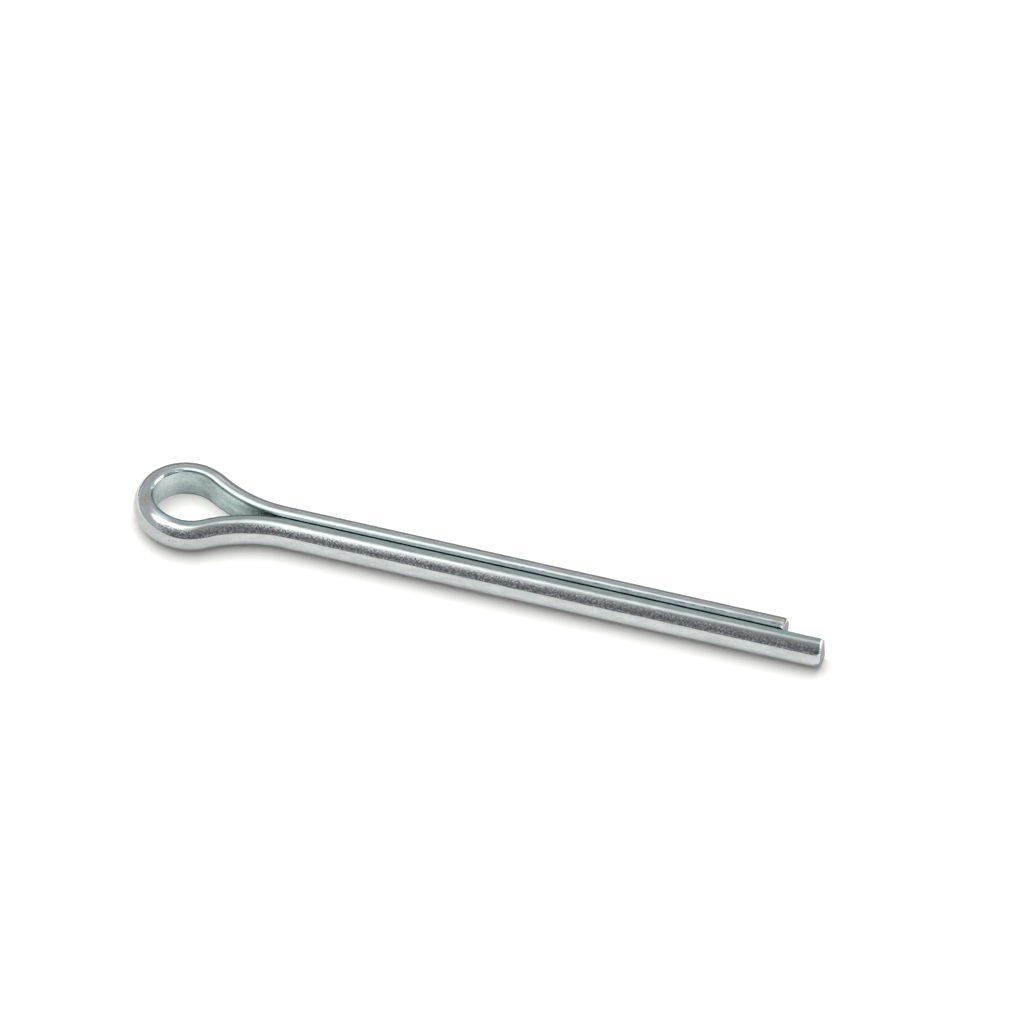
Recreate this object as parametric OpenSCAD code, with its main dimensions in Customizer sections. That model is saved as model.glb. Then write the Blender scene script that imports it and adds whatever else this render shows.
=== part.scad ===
// Extended-prong cotter pin, folded from one length of half-round wire.
// It lies on its round sides: X runs along the prongs to the tips, Y across the eye, Z up.

/* [Wire] */
// Diameter over both prongs where they lie together
shank_d = 5.7; // [4:0.05:8]
// Slit between the flats of the two prongs
slit = 0.25; // [0.1:0.05:0.8]
// Depth of the narrow flat rolled along each side of the wire, on which the pin lies
side_flat = 0.03; // [0.03:0.01:0.4]
// Radius of the edges of the wire's flat
edge_r = 0.2; // [0.1:0.05:0.5]

/* [Eye] */
// Width inside the eye, from flat to flat
eye_w = 7.8; // [5:0.1:12]
// Sharpness of the bend at the end of the eye: its radius over half the eye's width
eye_taper = 0.86; // [0.6:0.01:1]
// Turn to either side of the end before the flatter sides of the eye begin, in degrees
eye_blend = 45; // [30:1:60]
// Sideways offset of the eye from the shank, towards the longer prong
eye_lean = 0.26; // [0:0.01:0.8]

/* [Prongs] */
// Bend radius of each neck, measured on the flat
neck_r = 21; // [12:0.5:40]
// From the widest place of the eye to the end of the shorter prong
reach = 82.8; // [45:0.1:160]
// Reach of the longer prong past the shorter one
prong_step = 5.5; // [1:0.1:15]
// Bevel round the back of each cut end
tip_bevel = 0.4; // [0.1:0.05:1]

/* [Hidden] */
$fn = 96;
zinc = [0.72, 0.75, 0.76];

// Turns are rounded to ten-thousandths of a degree and the eye's radii to thousandths,
// places to hundredths before the rest is added
turn_step = 0.0001;
bend_step = 0.001;
place_step = 0.01;

// Hair's breadth, in degrees, by which a bend laps over the wire at each of its ends
lap = 0.000001;

// The section is half of the shank's circle, less half of the slit
shank_r = shank_d / 2;
axis_u = -slit / 2;
wire_t = shank_r + axis_u;

// Height of the shank's axis as the pin lies, and of an edge's centre above that axis
half_w = shank_r - side_flat;
edge_z = half_w - edge_r;

function rounded(v, step) = round(v / step) * step;
function coarse(at) = [for (v = at) rounded(v, place_step)];

// Bends of the eye, measured on the flat, and how far their centres lie from its middle
end_r = rounded(eye_taper * eye_w / 2, bend_step);
side_r = rounded((eye_w / 2 - end_r * sin(eye_blend)) / (1 - sin(eye_blend)), bend_step);
end_at = (side_r - end_r) * [-cos(eye_blend), 0, 0];
side_at = (side_r - end_r) * [0, -sin(eye_blend), 0];

back_x = end_r + wire_t - end_at.x;
mid_x = (reach + prong_step - back_x) / 2;

// From the widest place of the eye the wire turns in by this much, and back again on the neck,
// for its flat to end at y = h, counted from the eye's middle
function turn(h) = rounded(acos((h + neck_r - side_at.y) / (side_r + neck_r)), turn_step);

// Centre of that neck's bend, which touches the side of the eye
function neck_at(h) = side_at + (side_r + neck_r) * [sin(turn(h)), cos(turn(h)), 0];

module place(at) {
    translate(coarse(at))
        translate(at - coarse(at))
            children();
}

// One corner of the section's flat side, rounded
module edge_sector() {
    translate([edge_r, edge_z])
        intersection() {
            circle(edge_r);
            translate([-2 * edge_r, 0])
                square(2 * edge_r);
        }
}

// Half-round section: the flat lies on the Y axis and the round back faces +X
module wire_section() {
    intersection() {
        translate([axis_u, 0])
            circle(shank_r);
        union() {
            translate([edge_r, -half_w])
                square([shank_d, 2 * half_w]);
            translate([0, -edge_z])
                square([edge_r, 2 * edge_z]);
            edge_sector();
            mirror([0, 1])
                edge_sector();
        }
    }
}

// Straight wire along +X, with its flat towards -Y
module straight(len) {
    rotate([90, 0, 90])
        linear_extrude(len)
            wire_section();
}

// What the bevel takes off a prong that ends at the origin
module tip_cut() {
    translate([0, axis_u, 0])
        rotate([0, 90, 0])
            rotate_extrude()
                polygon([
                    [shank_r - tip_bevel, 0],
                    [shank_r + tip_bevel, -2 * tip_bevel],
                    [shank_r + tip_bevel, tip_bevel],
                    [shank_r - tip_bevel, tip_bevel]
                ]);
}

module prong(len) {
    difference() {
        straight(len);
        translate([len, 0, 0])
            tip_cut();
    }
}

// Bend of the radius r about the Z axis, between two angles counted from the X axis
module bend(r, from, to) {
    rotate_extrude(start = from - lap, angle = to - from + 2 * lap)
        translate([r, 0])
            children();
}

// One half of the pin past the end bend: side of the eye, neck and prong
module limb(h, tip_x) {
    place(side_at)
        bend(side_r, 90 - turn(h), 180 - eye_blend)
            wire_section();
    place(neck_at(h)) {
        rotate([0, 0, 180])
            bend(neck_r, 90 - turn(h), 90)
                mirror([1, 0])
                    wire_section();
        translate([0, -neck_r, 0])
            prong(tip_x - neck_at(h).x);
    }
}

module cotter_pin() {
    color(zinc)
        translate([-mid_x, 0, half_w]) {
            place(end_at)
                bend(end_r, 180 - eye_blend, 180 + eye_blend)
                    wire_section();
            limb(-axis_u + eye_lean, reach);
            mirror([0, 1, 0])
                limb(-axis_u - eye_lean, reach + prong_step);
        }
}

cotter_pin();
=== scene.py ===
import math
import bpy
import bmesh
from mathutils import Matrix, Vector


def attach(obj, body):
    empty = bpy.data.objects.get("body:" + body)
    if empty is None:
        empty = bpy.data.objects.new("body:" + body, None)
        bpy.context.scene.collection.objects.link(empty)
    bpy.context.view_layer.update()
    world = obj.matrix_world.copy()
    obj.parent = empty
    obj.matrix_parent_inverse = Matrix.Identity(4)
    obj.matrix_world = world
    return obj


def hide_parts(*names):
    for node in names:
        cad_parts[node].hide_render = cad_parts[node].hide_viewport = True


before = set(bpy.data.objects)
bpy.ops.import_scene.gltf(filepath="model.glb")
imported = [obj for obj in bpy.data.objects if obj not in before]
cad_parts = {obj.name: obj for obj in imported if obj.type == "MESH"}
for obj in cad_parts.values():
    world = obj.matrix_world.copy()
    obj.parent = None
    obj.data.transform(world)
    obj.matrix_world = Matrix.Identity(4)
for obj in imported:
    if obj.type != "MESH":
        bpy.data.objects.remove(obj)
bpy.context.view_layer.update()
print("frame loaded")

# cotter pin: one length of half-round wire, from the short tip round the eye to the long tip
# lengths in metres; a place along the wire is counted from the end of the eye, towards the long tip
pin = {
    "shankR": 0.002819, "slit": 0.00022, "halfW": 0.00282, "edgeR": 0.00009,
    "endR": 0.003325, "sideR": 0.005218, "blend": math.radians(45), "lean": 0.00026, "neckR": 0.021,
    "reach": 0.082799, "step": 0.0055, "eyeX": -0.0404515,
    "middleLine": 0.0012,  # from the flat out to the wire's middle line
    "roll": math.radians(6.3),  # twist of the prongs
    "rollAtEnd": 0.4,  # share of it that the end of the eye takes up, the near side takes the rest
    "inward": 0.00024, "inwardFrom": 0.0015, "inwardOver": 0.015,  # near side of the eye, bent in
    "press": 0.00040, "pressFrom": -0.0066, "pressTo": 0.0002,  # inner edge of the eye, pressed down
    "pressDepth": 0.00042, "pressHeight": 0.002,
    "bevel": 0.0007,
    "bevelRings": ((0.32, 0.04), (0.27, 0.11), (0.21, 0.21), (0.13, 0.31), (0.07, 0.42)),  # along, inwards
    "cutBelow": 0.95,  # share of half the width up to which the bevel has the look of the cut
    "farSlant": 0.08, "nearSlant": 0.03, "nearPivot": 0.0003,
    "cuts": {"back": 64, "edge": 14, "flat": 12, "neck": 24, "side": 30, "end": 16,
             "farProng": 34, "nearProng": 36},
}
cuts = pin["cuts"]
tooClose = 1e-7


def only(kind, geom):
    return [g for g in geom if isinstance(g, kind)]


def wireSection(bm, x):
    # half-round outline, flat towards -Y, spun from one vertex
    axis = Vector((x, pin["lean"], pin["halfW"]))
    inset = pin["slit"] / 2 + pin["edgeR"]
    rise = math.sqrt((pin["shankR"] - pin["edgeR"]) ** 2 - inset ** 2)
    beta = math.atan2(rise, inset)
    end = [bm.verts.new(axis + Vector((0, math.cos(beta), -math.sin(beta))) * pin["shankR"])]
    for centre, angle, steps in (
            (axis, 2 * beta, cuts["back"]),
            (axis + Vector((0, inset, rise)), math.pi - beta, cuts["edge"])):
        out = bmesh.ops.spin(bm, geom=end, cent=centre, axis=(1, 0, 0), angle=angle, steps=steps)
        end = only(bmesh.types.BMVert, out["geom_last"])
    for i in range(cuts["flat"]):
        end = bmesh.ops.extrude_vert_indiv(bm, verts=end)["verts"]
        bmesh.ops.translate(bm, vec=(0, 0, -2 * rise / cuts["flat"]), verts=end)
    bmesh.ops.spin(bm, geom=end, cent=axis + Vector((0, inset, -rise)), axis=(1, 0, 0),
                   angle=math.pi - beta, steps=cuts["edge"])
    bmesh.ops.remove_doubles(bm, verts=bm.verts[:], dist=tooClose)


class Wire:
    # a closed outline that is run and bent along its path, ring by ring;
    # "straightened" keeps each vertex's place on the unbent wire: along it, depth from the flat, height
    def __init__(self, x, direction):
        self.bm = bmesh.new()
        self.rest = self.bm.verts.layers.float_vector.new("straightened")
        self.along = 0.0
        wireSection(self.bm, x)
        for v in self.bm.verts:
            v[self.rest] = Vector((0, v.co.y - pin["slit"] / 2 - pin["lean"], v.co.z - pin["halfW"]))
        self.core = Vector((x, pin["lean"], pin["halfW"]))
        self.heading = direction
        self.ring = self.bm.edges[:]

    def took(self, geom, length):
        verts = only(bmesh.types.BMVert, geom)
        self.ring = only(bmesh.types.BMEdge, geom)
        self.along += length
        for v in verts:
            v[self.rest] = Vector((self.along, v[self.rest].y, v[self.rest].z))
        return verts

    def roll(self, verts, angle):
        # turns the wire about its own line
        turn = Matrix.Rotation(angle, 3, self.heading)
        bmesh.ops.rotate(self.bm, cent=self.core, matrix=turn, verts=verts)

    def run(self, length, direction, steps):
        step = direction * (length / steps)
        self.heading = direction
        for i in range(steps):
            out = bmesh.ops.extrude_edge_only(self.bm, edges=self.ring)["geom"]
            verts = self.took(out, length / steps)
            bmesh.ops.translate(self.bm, vec=step, verts=verts)
            self.core = self.core + step

    def bend(self, centre, angle, meanR, steps, roll=0.0):
        turn = Matrix.Rotation(angle / steps, 3, "Z")
        for i in range(steps):
            out = bmesh.ops.spin(
                self.bm, geom=self.ring + list({v for e in self.ring for v in e.verts}),
                cent=centre, axis=(0, 0, 1), angle=angle / steps, steps=1, use_duplicate=False)
            verts = self.took(out["geom_last"], abs(angle) * meanR / steps)
            self.core = centre + turn @ (self.core - centre)
            self.heading = turn @ self.heading
            self.roll(verts, roll / steps)

    def close(self, ring, direction, slant, pivot):
        # rounded bevel towards the cut end, then the end itself, sheared off at a slant
        axisPoint = Vector((0, pin["lean"], pin["halfW"]))
        tip = {v for e in ring for v in e.verts}
        under = []
        for step, shrink in pin["bevelRings"]:
            out = bmesh.ops.extrude_edge_only(self.bm, edges=ring)["geom"]
            verts = only(bmesh.types.BMVert, out)
            bmesh.ops.translate(self.bm, vec=direction * (step * pin["bevel"]), verts=verts)
            k = 1 - shrink * pin["bevel"] / pin["shankR"]
            bmesh.ops.scale(self.bm, vec=(1, k, k), space=Matrix.Translation(-axisPoint), verts=verts)
            ring = only(bmesh.types.BMEdge, out)
            last = only(bmesh.types.BMFace, out)
            under += [f for f in last if f.calc_center_median().z < pin["halfW"] * pin["cutBelow"]]
            tip.update(verts)
        for e in ring:
            e.smooth = False
        sheared = Matrix(((1, slant, 0, -slant * pivot), (0, 1, 0, 0), (0, 0, 1, 0), (0, 0, 0, 1)))
        bmesh.ops.transform(self.bm, matrix=sheared, space=Matrix(), verts=list(tip))
        return bmesh.ops.edgeloop_fill(self.bm, edges=ring)["faces"] + list(set(last + under))


# centres of the bends: end and sides of the eye, then the necks
sideOff = (pin["sideR"] - pin["endR"]) * math.sin(pin["blend"])
neckD = pin["sideR"] + pin["neckR"]
middle = Vector((pin["eyeX"], 0, 0))
endAt = middle - Vector(((pin["sideR"] - pin["endR"]) * math.cos(pin["blend"]), 0, 0))
sideFar, sideNear = middle - Vector((0, sideOff, 0)), middle + Vector((0, sideOff, 0))


def turnFor(h):
    # turn of the side and of the neck that brings the flat to h from the eye's middle
    return math.acos((h + pin["neckR"] + sideOff) / neckD)


turnFar = turnFor(pin["slit"] / 2 + pin["lean"])
turnNear = turnFor(pin["slit"] / 2 - pin["lean"])
neckFar = sideFar + Vector((math.sin(turnFar), math.cos(turnFar), 0)) * neckD
neckNear = sideNear + Vector((math.sin(turnNear), -math.cos(turnNear), 0)) * neckD
tipFar = pin["eyeX"] + pin["reach"]
tipNear = tipFar + pin["step"]
toTip, toEye = Vector((1, 0, 0)), Vector((-1, 0, 0))

# radii of the wire's middle line, and how the twist is taken up round the eye
neckLine = pin["neckR"] - pin["middleLine"]
sideLine = pin["sideR"] + pin["middleLine"]
endLine = pin["endR"] + pin["middleLine"]
rollEnd = pin["roll"] * pin["rollAtEnd"]
rollSide = pin["roll"] * (1 - pin["rollAtEnd"])
quarter = math.pi / 2

wire = Wire(tipFar - pin["bevel"], toEye)
firstRing = wire.ring
wire.roll(wire.bm.verts[:], -pin["roll"])
wire.run(tipFar - pin["bevel"] - neckFar.x, toEye, cuts["farProng"])
eyeFrom = wire.along
wire.bend(neckFar, -turnFar, neckLine, cuts["neck"], pin["roll"])
wire.bend(sideFar, turnFar + quarter - pin["blend"], sideLine, cuts["side"])
wire.bend(endAt, pin["blend"], endLine, cuts["end"])
eyeEnd = wire.along
wire.bend(endAt, pin["blend"], endLine, cuts["end"], rollEnd)
wire.bend(sideNear, turnNear + quarter - pin["blend"], sideLine, cuts["side"], rollSide)
wire.bend(neckNear, -turnNear, neckLine, cuts["neck"])
eyeTo = wire.along
wire.run(tipNear - pin["bevel"] - neckNear.x, toTip, cuts["nearProng"])
caps = wire.close(firstRing, toTip, pin["farSlant"], pin["lean"] + pin["shankR"])
caps += wire.close(wire.ring, toTip, pin["nearSlant"], pin["lean"] + pin["nearPivot"])

# the near side of the eye lies further in, and the inner edge is pressed down a little on the far left
rings = {}
for v in wire.bm.verts:
    rings.setdefault(round((v[wire.rest].x - eyeEnd) * 1e6), []).append(v)
for microns, ring in sorted(rings.items()):
    place = microns * 1e-6
    share = (place - pin["inwardFrom"]) / pin["inwardOver"]
    if 0 < share < 1:
        bmesh.ops.translate(wire.bm, vec=(0, pin["inward"] * math.sin(math.pi * share), 0), verts=ring)
    share = (place - pin["pressFrom"]) / (pin["pressTo"] - pin["pressFrom"])
    if 0 < share < 1:
        pressed = pin["press"] * math.sin(math.pi * share) ** 0.5
        for v in ring:
            edge = 1 - v[wire.rest].y / pin["pressDepth"]
            if v[wire.rest].z > pin["pressHeight"] and edge > 0:
                bmesh.ops.translate(wire.bm, vec=(0, 0, -pressed * edge), verts=[v])

bmesh.ops.remove_doubles(wire.bm, verts=wire.bm.verts[:], dist=tooClose)
bmesh.ops.recalc_face_normals(wire.bm, faces=wire.bm.faces[:])
for f in wire.bm.faces:
    f.smooth = True
for f in caps:
    f.smooth = len(f.verts) == 4
    f.material_index = 1
mesh = bpy.data.meshes.new("cotterPinWire")
wire.bm.to_mesh(mesh)
wire.bm.free()
pinPiece = bpy.data.objects.new("cotterPinWire", mesh)
bpy.context.scene.collection.objects.link(pinPiece)
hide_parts("cotter_pin")
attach(pinPiece, "root")
print("pin built", len(mesh.polygons), "faces")


class Shades:
    # short ways to add nodes to one material or to the room; wherever a number fits, a socket does too
    def __init__(self, tree):
        self.tree = tree

    def add(self, kind, **values):
        n = self.tree.nodes.new(kind)
        for key, value in values.items():
            if key in n.inputs:
                n.inputs[key].default_value = value
            else:
                setattr(n, key, value)
        return n

    def plug(self, value, socket):
        if isinstance(value, bpy.types.NodeSocket):
            self.tree.links.new(value, socket)
        else:
            socket.default_value = value

    def maths(self, kind, *values):
        n = self.add("ShaderNodeMath", operation=kind)
        for i, value in enumerate(values):
            self.plug(value, n.inputs[i])
        return n.outputs[0]

    def times(self, first, *others):
        for other in others:
            first = self.maths("MULTIPLY", first, other)
        return first

    def mix(self, kind, factor, one, two):
        n = self.add("ShaderNodeMix", data_type="RGBA", blend_type=kind, clamp_factor=True)
        for i, value in ((0, factor), (6, one), (7, two)):
            self.plug(value, n.inputs[i])
        return n.outputs[2]

    def band(self, value, low, high, bottom=0.0, top=1.0, kind="SMOOTHSTEP"):
        # bottom at low, top at high
        n = self.add("ShaderNodeMapRange", interpolation_type=kind)
        self.plug(value, n.inputs["Value"])
        for key, end in (("From Min", low), ("From Max", high), ("To Min", bottom), ("To Max", top)):
            self.plug(end, n.inputs[key])
        return n.outputs[0]

    def between(self, value, start, rise, fall, stop):
        # 1 from rise to fall, 0 before start and past stop
        return self.times(self.band(value, start, rise), self.band(value, stop, fall))

    def grain(self, where, stretch, scale, detail, rough, offset=(0, 0, 0)):
        # noise in millimetres, stretched along the wire
        fit = self.add("ShaderNodeMapping", Scale=[1000 * k for k in stretch], Location=offset)
        self.plug(where, fit.inputs["Vector"])
        n = self.add("ShaderNodeTexNoise", Scale=scale, Detail=detail, Roughness=rough)
        self.plug(fit.outputs[0], n.inputs["Vector"])
        return n.outputs["Fac"]

    def mottled(self, noise, ends, dark, light):
        return self.mix("MIX", self.band(noise, *ends), dark, light)

    def away(self, where, point):
        n = self.add("ShaderNodeVectorMath", operation="DISTANCE")
        self.plug(where, n.inputs[0])
        n.inputs[1].default_value = point
        return n.outputs["Value"]

    def split(self, where):
        n = self.add("ShaderNodeSeparateXYZ")
        self.plug(where, n.inputs[0])
        return n.outputs[0], n.outputs[1], n.outputs[2]


def metalOf(name):
    metal = bpy.data.materials.new(name)
    metal.use_nodes = True
    shader = metal.node_tree.nodes["Principled BSDF"]
    shader.inputs["Metallic"].default_value = 1.0
    pinPiece.data.materials.append(metal)
    return Shades(metal.node_tree), shader


def degrees(*angles):
    return [math.radians(angle) for angle in angles]


# zinc plating; depths and places on the straightened wire in metres, turns in degrees
# each noise has its stretch, scale, detail and roughness, and some a shift
plate = {
    "back": (0.535, 0.565, 0.572, 1), "flat": (0.37, 0.45, 0.445, 1), "flatDepth": (0.00030, 0.00006),
    "brushed": ((0.10, 1, 1), 5.0, 4.0, 0.65), "cloud": ((0.35, 1, 1), 0.9, 4.0, 0.6),
    "mottle": ((0.8, 1, 1), 3.2, 5.0, 0.7), "blotch": ((0.6, 1, 1), 0.45, 3.0, 0.6, (0.4, 0, 0)),
    "cloudy": (0.35, 0.65), "patchy": (0.38, 0.62),  # where noise goes from dark to light
    "cloudDark": (0.93, 0.93, 0.93, 1), "brushedDark": (0.93, 0.935, 0.94, 1),
    "light": (1.05, 1.05, 1.05, 1),
    "blotchDark": (0.82, 0.83, 0.84, 1), "blotchLight": (1.15, 1.15, 1.15, 1),
    "worn": (0.61, 0.69, 0.715, 1), "wornPlace": (-0.0085, -0.0030, -0.0010, 0.0020),
    "paintedSlitLight": (1.22, 1.25, 1.25, 1), "paintedSlitLightPlace": (-0.0105, -0.0135),
    "rough": 0.055, "mottleRough": 0.09, "flatRough": 0.2, "roughBand": (0.40, 0.68),
    "grainStep": 0.000030, "streakStep": 0.000008,
}
zinc, shader = metalOf("zincPlate")
straight = zinc.add("ShaderNodeAttribute", attribute_name="straightened").outputs["Vector"]
along, depth, height = zinc.split(straight)
place = zinc.maths("SUBTRACT", along, eyeEnd)
brushed, cloud, mottle, blotch = [zinc.grain(straight, *plate[key])
                                  for key in ("brushed", "cloud", "mottle", "blotch")]

# teal flats with brushed lines, paler back with faint streaks
onFlat = zinc.band(depth, *plate["flatDepth"])
colour = zinc.mix("MIX", onFlat, plate["back"], plate["flat"])
clouded = zinc.mottled(cloud, plate["cloudy"], plate["cloudDark"], plate["light"])
streaked = zinc.mottled(brushed, plate["patchy"], plate["brushedDark"], plate["light"])
blotched = zinc.mottled(blotch, plate["patchy"], plate["blotchDark"], plate["blotchLight"])
colour = zinc.mix("MULTIPLY", 1.0, colour, clouded)
colour = zinc.mix("MULTIPLY", 1.0, colour, streaked)
colour = zinc.mix("MULTIPLY", onFlat, colour, blotched)
worn = zinc.times(onFlat, zinc.between(place, *plate["wornPlace"]))
colour = zinc.mix("MIX", worn, colour, plate["worn"])
# painted light: the flats of the far neck and the far prong are painted lighter, standing in for light
# reflected into the throat and the slit
paintedSlitLight = zinc.times(onFlat, zinc.band(place, *plate["paintedSlitLightPlace"]))
colour = zinc.mix("MULTIPLY", paintedSlitLight, colour, plate["paintedSlitLight"])

# strokes both ways across the shoulder of the back; turned is the surface's turn from straight up
shoulder = {
    "turn": (25, 36, 50, 53), "place": (0.0045, 0.0085), "stroke": ((0.5, 1.1, 0), 3.2, 3.0, 0.65),
    "speckle": 2.8,
    "ticks": ((-0.00042, 0.00011), (0.00012, 0.00008), (0.00040, 0.00013)),  # tool marks: place and width
    "tickX": 0.0422, "tickCore": 0.3, "tickBand": (0.40, 0.55), "tickColour": (0.95, 0.96, 0.97, 1),
}
turned = zinc.maths("ARCTAN2", zinc.maths("ADD", depth, pin["slit"] / 2), height)
onShoulder = zinc.times(zinc.between(turned, *degrees(*shoulder["turn"])),
                        zinc.band(place, *shoulder["place"]))
arc = zinc.times(turned, pin["shankR"])
strokes = 0.0
for way in (1.0, -1.0):
    pair = zinc.add("ShaderNodeCombineXYZ")
    zinc.plug(zinc.maths("MULTIPLY_ADD", arc, way, along), pair.inputs[0])
    zinc.plug(zinc.maths("MULTIPLY_ADD", arc, -way, along), pair.inputs[1])
    zinc.plug(depth, pair.inputs[2])
    stroke = zinc.grain(pair.outputs[0], *shoulder["stroke"], (way, 0, 0))
    strokes = zinc.maths("ADD", strokes, zinc.maths("SUBTRACT", stroke, 0.5))
strokes = zinc.times(strokes, onShoulder)
speckle = zinc.maths("MULTIPLY_ADD", strokes, shoulder["speckle"], 1.0)
tone = zinc.add("ShaderNodeCombineColor")
for i in range(3):
    zinc.plug(speckle, tone.inputs[i])
colour = zinc.mix("MULTIPLY", 1.0, colour, tone.outputs[0])

# tool marks across the near prong
fromMarks = zinc.maths("SUBTRACT", along, eyeTo + shoulder["tickX"] - neckNear.x)
ticks = 0.0
for at, wide in shoulder["ticks"]:
    off = zinc.maths("ABSOLUTE", zinc.maths("SUBTRACT", fromMarks, at))
    ticks = zinc.maths("MAXIMUM", ticks, zinc.band(off, wide, wide * shoulder["tickCore"]))
ticks = zinc.times(ticks, zinc.band(brushed, *shoulder["tickBand"]), onShoulder)
colour = zinc.mix("MIX", ticks, colour, shoulder["tickColour"])

# brown stain and specks on the eye
marks = {
    "stain": (0.50, 0.485, 0.37, 1), "stainAt": (0.0021, 0.0007, 0.0026), "stainSize": (0.0016, 0.0004),
    "stainBand": (0.3, 0.6), "speck": (0.22, 0.18, 0.15, 1), "speckCore": 0.4,
    "specks": (((0.00790, 0.00260, 0.00086), 0.00015), ((0.00870, 0.00255, 0.00102), 0.00011),
               ((0.00830, 0.00264, 0.00066), 0.00010)),  # place and size
    # painted shade low on the back, and more of it round the eye
    "lowTurn": (52, 60), "low": (0.94, 0.945, 0.945, 1),
    "patchDark": (0.92, 0.925, 0.915, 1), "patchLight": (1.07, 1.07, 1.06, 1),
    "paintedEyeShade": (0.89, 0.89, 0.88, 1), "paintedEyeShadePlace": (-0.003, 0.001, 0.009, 0.020),
    "breaks": (0.55, 0.57, 0.60, 1), "breaksNoise": ((0.35, 1, 1), 2.2, 2.0, 0.6, (2.7, 0, 0)),
    "breaksBand": (0.50, 0.60), "breaksTurn": (8, 11, 13, 17), "breaksAlong": (0.048, 0.034),
    "tint": (1.0, 0.93, 0.81, 1), "tintTurn": (20, 32, 55, 75), "tintAlong": (0.0022, 0.0004),
    # painted shade on the edges inside the eye
    "edge": (0.35, 0.37, 0.38, 1), "edgeDepth": (0.00026, 0.00014), "edgeHeight": (0.00245, 0.0026),
    "eyeFade": 0.002, "pressPlace": (-0.0070, -0.0062, -0.0004, 0.0004),
}
pastEnd = Vector((eyeEnd, 0, 0))
stained = zinc.band(zinc.away(straight, pastEnd + Vector(marks["stainAt"])), *marks["stainSize"])
stained = zinc.times(stained, zinc.band(mottle, *marks["stainBand"]))
colour = zinc.mix("MIX", stained, colour, marks["stain"])
for at, wide in marks["specks"]:
    speck = zinc.band(zinc.away(straight, pastEnd + Vector(at)), wide, wide * marks["speckCore"])
    colour = zinc.mix("MIX", speck, colour, marks["speck"])

# low on the back: painted shade, a little darker and darker still round the eye; patchy tone there as well
low = zinc.band(turned, *degrees(*marks["lowTurn"]))
patches = zinc.mottled(mottle, plate["patchy"], marks["patchDark"], marks["patchLight"])
paintedEyeShade = zinc.times(low, zinc.between(place, *marks["paintedEyeShadePlace"]))
colour = zinc.mix("MULTIPLY", low, colour, marks["low"])
colour = zinc.mix("MULTIPLY", low, colour, patches)
colour = zinc.mix("MULTIPLY", paintedEyeShade, colour, marks["paintedEyeShade"])

# far prong: dark breaks beside the bright line towards its tip, and a brown tint on the tip
breaks = zinc.band(zinc.grain(straight, *marks["breaksNoise"]), *marks["breaksBand"])
breaks = zinc.times(breaks, zinc.band(along, *marks["breaksAlong"]),
                    zinc.between(turned, *degrees(*marks["breaksTurn"])))
colour = zinc.mix("MULTIPLY", breaks, colour, marks["breaks"])
tint = zinc.times(zinc.band(along, *marks["tintAlong"]),
                  zinc.between(turned, *degrees(*marks["tintTurn"])))
colour = zinc.mix("MULTIPLY", tint, colour, marks["tint"])

# painted shade: edges inside the eye are darker, a painted reflection of the shaded floor and inner wall,
# apart from the pressed one
inEye = zinc.between(along, eyeFrom, eyeFrom + marks["eyeFade"], eyeTo - marks["eyeFade"], eyeTo)
paintedEdgeShade = zinc.times(zinc.band(depth, *marks["edgeDepth"]),
                    zinc.band(zinc.maths("ABSOLUTE", height), *marks["edgeHeight"]), inEye,
                    zinc.maths("SUBTRACT", 1.0, zinc.between(place, *marks["pressPlace"])))
colour = zinc.mix("MULTIPLY", paintedEdgeShade, colour, marks["edge"])
zinc.plug(colour, shader.inputs["Base Color"])

# roughness is cloudy, and higher on the flats
rough = zinc.band(mottle, *plate["roughBand"])
rough = zinc.maths("MULTIPLY_ADD", rough, plate["mottleRough"], plate["rough"])
zinc.plug(zinc.maths("MULTIPLY_ADD", onFlat, plate["flatRough"], rough), shader.inputs["Roughness"])

# bump: the strokes on the shoulder, faint drawn streaks everywhere
pits = zinc.add("ShaderNodeBump", Distance=plate["grainStep"], Strength=1.0)
zinc.plug(strokes, pits.inputs["Height"])
drawn = zinc.add("ShaderNodeBump", Distance=plate["streakStep"], Strength=1.0)
zinc.plug(brushed, drawn.inputs["Height"])
zinc.plug(pits.outputs[0], drawn.inputs["Normal"])
zinc.plug(drawn.outputs[0], shader.inputs["Normal"])

# cut ends: duller, with the marks of the shear
cutEnd = {
    "dark": (0.205, 0.205, 0.22, 1), "light": (0.315, 0.31, 0.335, 1), "cloudy": (0.35, 0.65),
    "speckled": ((1, 1, 1), 3.0, 4.0, 0.65), "sheared": ((1, 1, 0.2), 4.0, 2.0, 0.6),
    "rough": 0.5, "step": 0.00001,
}
cut, shader = metalOf("cutEnd")
where = cut.add("ShaderNodeTexCoord").outputs["Object"]
speckled = cut.grain(where, *cutEnd["speckled"])
colour = cut.mottled(speckled, cutEnd["cloudy"], cutEnd["dark"], cutEnd["light"])
cut.plug(colour, shader.inputs["Base Color"])
shader.inputs["Roughness"].default_value = cutEnd["rough"]
pits = cut.add("ShaderNodeBump", Distance=cutEnd["step"], Strength=1.0)
cut.plug(cut.grain(where, *cutEnd["sheared"]), pits.inputs["Height"])
cut.plug(pits.outputs[0], shader.inputs["Normal"])
print("materials made")


def flatSheet(name, length, width, placed):
    sheetMesh = bpy.data.meshes.new(name)
    bm = bmesh.new()
    bmesh.ops.create_grid(bm, x_segments=1, y_segments=1, size=0.5)
    bmesh.ops.scale(bm, vec=(length, width, 1), verts=bm.verts[:])
    bmesh.ops.transform(bm, matrix=placed, space=Matrix(), verts=bm.verts[:])
    bm.to_mesh(sheetMesh)
    bm.free()
    sheet = bpy.data.objects.new(name, sheetMesh)
    bpy.context.scene.collection.objects.link(sheet)
    return sheet


def glowOf(sheet):
    # empty material on a sheet that only the metal sees
    glow = bpy.data.materials.new(sheet.name)
    glow.use_nodes = True
    glow.node_tree.nodes.clear()
    sheet.data.materials.append(glow)
    sheet.visible_camera = sheet.visible_diffuse = False
    return Shades(glow.node_tree)


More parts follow.
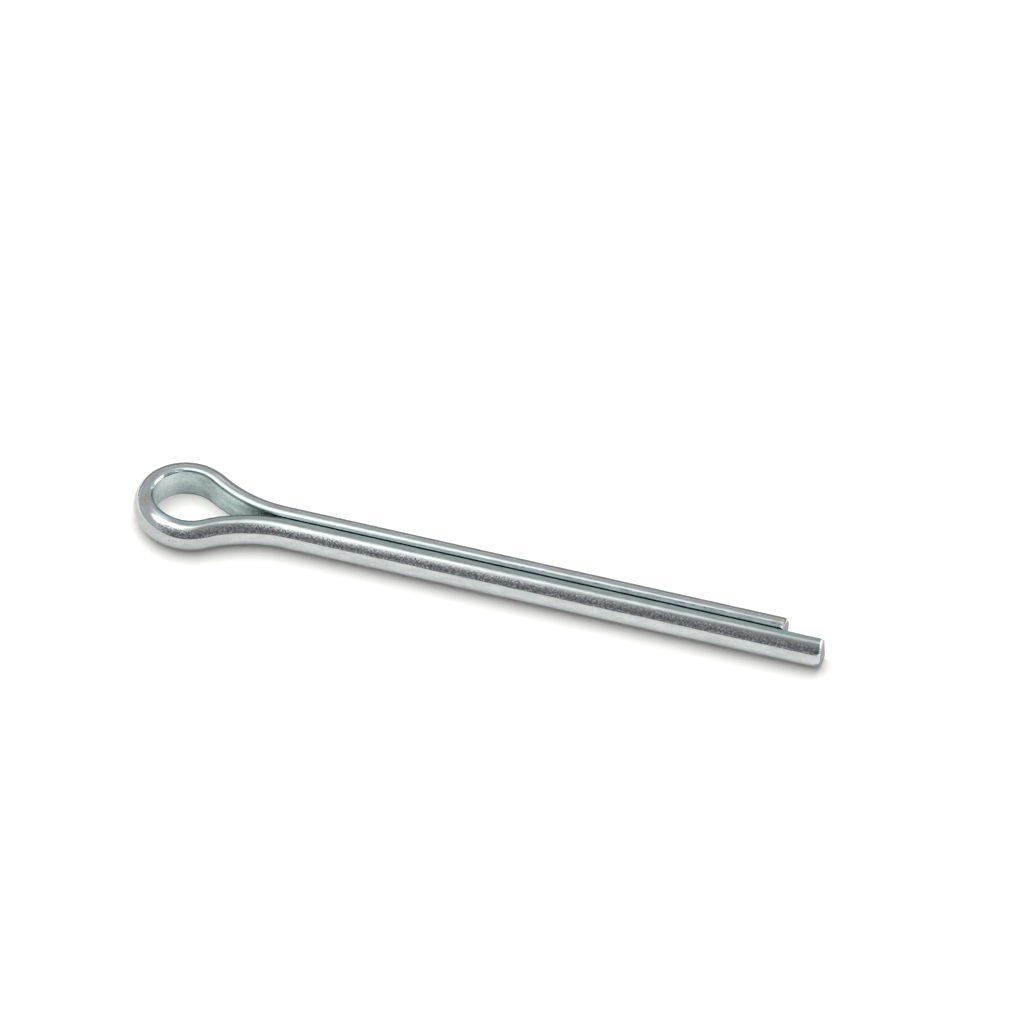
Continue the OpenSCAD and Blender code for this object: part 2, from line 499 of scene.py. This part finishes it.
# floor
paper = {"size": 3, "colour": (0.92, 0.894, 0.874, 1), "rough": 0.9}
floor = flatSheet("floor", paper["size"], paper["size"], Matrix())
pale = bpy.data.materials.new("paleFloor")
pale.use_nodes = True
pale.node_tree.nodes["Principled BSDF"].inputs["Base Color"].default_value = paper["colour"]
pale.node_tree.nodes["Principled BSDF"].inputs["Roughness"].default_value = paper["rough"]
floor.data.materials.append(pale)

# soft boxes: panels of cloth that glow, square to the shank
# psi is their turn from straight up towards the viewer, in degrees
# a is counted along the pin and c across the panel, away from the viewer, both in metres
# the borders of the glow are lines, c = first + second * a, that turn back left of the turn
# ends fade the glow along a; along gives its strength at two places
softBoxes = {
    "frontSoftBox": {
        "psi": 30, "distance": 0.20, "width": 0.42, "length": 0.8, "fall": "LINEAR", "turn": -0.060,
        "farDark": (0.079, 0.3), "farBright": (0.038, 0.4),
        "nearBright": (0.042, 0.7), "nearDark": (-0.017, 1.95),
        "ends": (-0.26, -0.19, 0.30, 0.36), "along": (-0.16, 0.012, 2.75, 0.9)},
    "crownSoftBox": {
        "psi": 5, "distance": 0.20, "width": 0.30, "length": 0.8, "fall": "SMOOTHSTEP", "turn": -9,
        "farDark": (0.050, 0.0), "farBright": (0.010, 0.0),
        "nearBright": (-0.05, 0.0), "nearDark": (-0.10, 0.0),
        "ends": (-0.20, -0.15, -0.12, -0.085), "along": (-0.3, 0.0, 0.6, 0.6)},
    "backSoftBox": {
        "psi": -52, "distance": 0.25, "width": 0.40, "length": 0.7, "fall": "SMOOTHSTEP", "turn": -9,
        "farDark": (0.060, 0.0), "farBright": (0.010, 0.0),
        "nearBright": (0.008, 0.78), "nearDark": (-0.010, 1.09),
        "ends": (-0.14, -0.085, 0.25, 0.33), "along": (-0.062, 0.005, 1.22, 1.15)},
}
leftMost, rightMost = -0.03, 0.025  # limits of a for the turned part and for the right end of the borders

for name, box in softBoxes.items():
    psi = math.radians(box["psi"])
    back, side = Vector((0, -math.sin(psi), math.cos(psi))), Vector((1, 0, 0))
    panel = flatSheet(name, box["length"], box["width"], Matrix())
    panel.matrix_world = (Matrix.Translation(back * box["distance"])
                          @ Matrix((side, back.cross(side), back)).transposed().to_4x4())
    cloth = glowOf(panel)
    a, c = cloth.split(cloth.add("ShaderNodeTexCoord").outputs["Object"])[:2]
    turnedBack = cloth.maths("MINIMUM", cloth.maths("SUBTRACT", 2 * box["turn"], a), leftMost)
    b = cloth.maths("MINIMUM", cloth.maths("MAXIMUM", a, turnedBack), rightMost)
    line = {key: cloth.maths("MULTIPLY_ADD", b, box[key][1], box[key][0])
            for key in ("farDark", "farBright", "nearBright", "nearDark")}
    glowing = cloth.times(
        cloth.band(c, line["farDark"], line["farBright"]),
        cloth.band(c, line["nearDark"], line["nearBright"], kind=box["fall"]),
        cloth.between(a, *box["ends"]),
        cloth.band(a, *box["along"], kind="LINEAR"))
    light = cloth.add("ShaderNodeEmission")
    cloth.plug(glowing, light.inputs["Strength"])
    both = cloth.add("ShaderNodeAddShader")
    cloth.plug(light.outputs[0], both.inputs[0])
    cloth.plug(cloth.add("ShaderNodeBsdfTransparent").outputs[0], both.inputs[1])
    cloth.plug(both.outputs[0], cloth.add("ShaderNodeOutputMaterial").inputs["Surface"])

# soft box low on the right, square to the pin's length, and behind the pin a dim glowing card that only
# the metal sees, a painted reflection of shade there
rightBox = {"height": 0.55, "width": 0.42, "at": (0.38, 0.06, 0.30), "glow": 2.2}
reflectedShadeCard = {"length": 0.24, "width": 0.10, "at": (-0.01, 0.059, 0.0004), "glow": 0.36}
upright = Matrix.Rotation(math.radians(90), 4, "Y")
sidePanel = flatSheet("rightSoftBox", rightBox["height"], rightBox["width"],
                      Matrix.Translation(rightBox["at"]) @ upright)
card = flatSheet("reflectedShadeCard", reflectedShadeCard["length"], reflectedShadeCard["width"], Matrix.Translation(reflectedShadeCard["at"]))
for sheet, strength in ((sidePanel, rightBox["glow"]), (card, reflectedShadeCard["glow"])):
    cloth = glowOf(sheet)
    light = cloth.add("ShaderNodeEmission", Strength=strength)
    cloth.plug(light.outputs[0], cloth.add("ShaderNodeOutputMaterial").inputs["Surface"])
card.visible_shadow = card.visible_transmission = False

# room: light greys, darker low down on the viewer's side
room = {
    # psi, level, and the red and blue in it over the green
    "stops": ((-90, 0.62, 0.97, 1.0), (-70, 0.66, 0.97, 1.0), (-45, 0.62, 0.9, 1.03),
              (-20, 0.66, 0.875, 1.03), (-8, 0.63, 0.89, 1.02), (2, 0.58, 0.9, 1.01),
              (10, 0.55, 0.95, 1.0), (25, 0.5, 0.98, 1.01), (40, 0.32, 0.97, 1.05),
              (55, 0.235, 0.97, 1.06), (90, 0.19, 0.97, 1.05)),
    "left": (0.60, 0.63, 0.64, 1), "leftFrom": (-0.25, -0.65),
    "backRight": (0.86, 0.88, 0.86, 1), "rightFrom": (-0.06, 0.12), "backFrom": (0.2, 0.6),
}
world = bpy.data.worlds.new("room")
bpy.context.scene.world = world
world.use_nodes = True
world.node_tree.nodes.clear()
walls = Shades(world.node_tree)
x, y, z = walls.split(walls.add("ShaderNodeTexCoord").outputs["Generated"])
angle = walls.maths("ARCTAN2", walls.times(y, -1.0), z)
ramp = walls.add("ShaderNodeValToRGB")
while len(ramp.color_ramp.elements) < len(room["stops"]):
    ramp.color_ramp.elements.new(0.5)
for element, (psi, level, red, blue) in zip(ramp.color_ramp.elements, room["stops"]):
    element.position = (psi + 180) / 360
    element.color = (level * red, level, level * blue, 1)
walls.plug(walls.band(angle, -math.pi, math.pi, kind="LINEAR"), ramp.inputs["Fac"])
grey = walls.mix("MIX", walls.band(x, *room["leftFrom"]), ramp.outputs["Color"], room["left"])
backRight = walls.times(walls.band(x, *room["rightFrom"]), walls.band(y, *room["backFrom"]))
sky = walls.add("ShaderNodeBackground")
walls.plug(walls.mix("MIX", backRight, grey, room["backRight"]), sky.inputs["Color"])
walls.plug(sky.outputs[0], walls.add("ShaderNodeOutputWorld").inputs["Surface"])

# lamps that light the floor and don't show in the metal
lamps = {
    "floorLight": {"kind": "AREA", "at": (-0.2, 0.12, 1.2), "energy": 17.2, "shape": "DISK", "size": 1.5},
    "eyeLight": {"kind": "SPOT", "at": (pin["eyeX"] + 0.0008, 0.0009, 0.5), "energy": 1.7,
                 "spot_size": math.radians(0.75), "spot_blend": 1.0, "shadow_soft_size": 0.002},
}
for name, settings in lamps.items():
    lamp = bpy.data.lights.new(name, settings["kind"])
    for key, value in settings.items():
        if key not in ("kind", "at"):
            setattr(lamp, key, value)
    lampObject = bpy.data.objects.new(name, lamp)
    lampObject.location = settings["at"]
    bpy.context.scene.collection.objects.link(lampObject)
    lampObject.visible_glossy = False
print("stage set")

# camera: far off, aimed so that the widest place of the eye falls on eyeAt, in pixels
view = {"yaw": 14.88, "rise": 57.0, "pxPerMm": 7.44, "eyeAt": (187.65, 506.89), "distance": 2.0,
        "pixels": 1024, "sensor": 36, "clip": 20}
yaw, rise = degrees(view["yaw"], view["rise"])
toCamera = Vector((math.sin(yaw) * math.cos(rise), -math.cos(yaw) * math.cos(rise), math.sin(rise)))
right = Vector((math.cos(yaw), math.sin(yaw), 0))
up = toCamera.cross(right)
perPx = 0.001 / view["pxPerMm"]
half = view["pixels"] / 2
aim = (Vector((pin["eyeX"], 0, pin["halfW"])) + right * (half - view["eyeAt"][0]) * perPx
       - up * (half - view["eyeAt"][1]) * perPx)
camera = bpy.data.objects.new("camera", bpy.data.cameras.new("camera"))
bpy.context.scene.collection.objects.link(camera)
camera.matrix_world = (Matrix.Translation(aim + toCamera * view["distance"])
                       @ Matrix((right, up, toCamera)).transposed().to_4x4())
camera.data.sensor_width = view["sensor"]
camera.data.lens = view["sensor"] * view["distance"] / (view["pixels"] * perPx)
camera.data.clip_end = view["clip"]
bpy.context.scene.camera = camera
bpy.context.scene.view_settings.view_transform = "Standard"
print("camera set")
